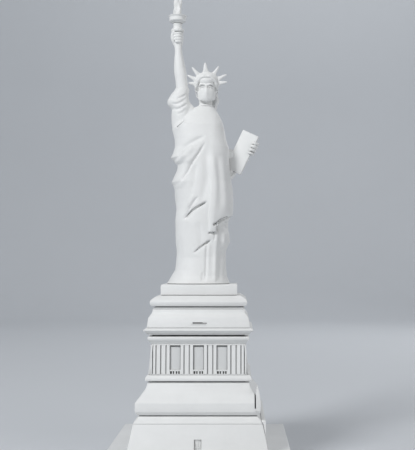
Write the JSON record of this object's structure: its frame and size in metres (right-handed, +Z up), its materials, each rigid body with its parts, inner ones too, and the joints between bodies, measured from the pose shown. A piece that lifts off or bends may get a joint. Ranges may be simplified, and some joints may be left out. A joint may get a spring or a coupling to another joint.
{
  "type": "miniature landmark model",
  "caption": "White miniature of a robed figure with raised torch, tablet, rayed crown and face mask, on a stepped square pedestal and grey base board.",
  "frame": {"origin": "centre of the underside of the four pads, on the surface the model stands on", "axes": "+Z up towards the torch, the figure faces -Y, +X is the side of the tablet (the figure's left)"},
  "size_m": [0.14, 0.14, 0.3768],
  "materials": {
    "white_casting": "matt white cast resin, slightly cool, soft edges",
    "grey_board": "mid-grey painted wood-fibre board, satin",
    "felt": "dark grey pressed felt",
    "steel": "zinc-plated steel",
    "brass": "turned brass"
  },
  "bodies": {
    "root": {"base_board": "grey_board", "foot_pad_1": "felt", "foot_pad_2": "felt", "foot_pad_3": "felt", "foot_pad_4": "felt", "tie_rod": "steel", "rod_washer": "steel", "rod_nut": "steel", "figure_insert": "brass", "gate_wall": "white_casting", "gate_door_front": "white_casting", "gate_door_right": "white_casting", "gate_door_back": "white_casting", "gate_door_left": "white_casting", "string_course": "white_casting", "flared_course": "white_casting", "loggia_ledge": "white_casting", "side_fin": "white_casting", "side_flap": "white_casting", "loggia_core": "white_casting", "loggia_screen_front": "white_casting", "loggia_panel_front": "white_casting", "loggia_screen_right": "white_casting", "loggia_panel_right": "white_casting", "loggia_screen_back": "white_casting", "loggia_panel_back": "white_casting", "loggia_screen_left": "white_casting", "loggia_panel_left": "white_casting", "entablature": "white_casting", "main_cornice": "white_casting", "attic": "white_casting", "attic_balcony": "white_casting", "upper_cornice": "white_casting", "figure_plinth": "white_casting", "robe": "white_casting", "arm_pin": "steel", "neck_pin": "steel", "raised_arm": "white_casting", "torch_handle": "white_casting", "torch_gallery": "white_casting", "torch_flame": "white_casting", "head": "white_casting", "crown_band": "white_casting", "crown_ray_1": "white_casting", "crown_ray_2": "white_casting", "crown_ray_3": "white_casting", "crown_ray_4": "white_casting", "crown_ray_5": "white_casting", "crown_ray_6": "white_casting", "crown_ray_7": "white_casting", "face_mask": "white_casting", "mask_loop_left": "white_casting", "mask_loop_right": "white_casting", "tablet": "white_casting", "left_forearm": "white_casting"}
  },
  "joints": []
}
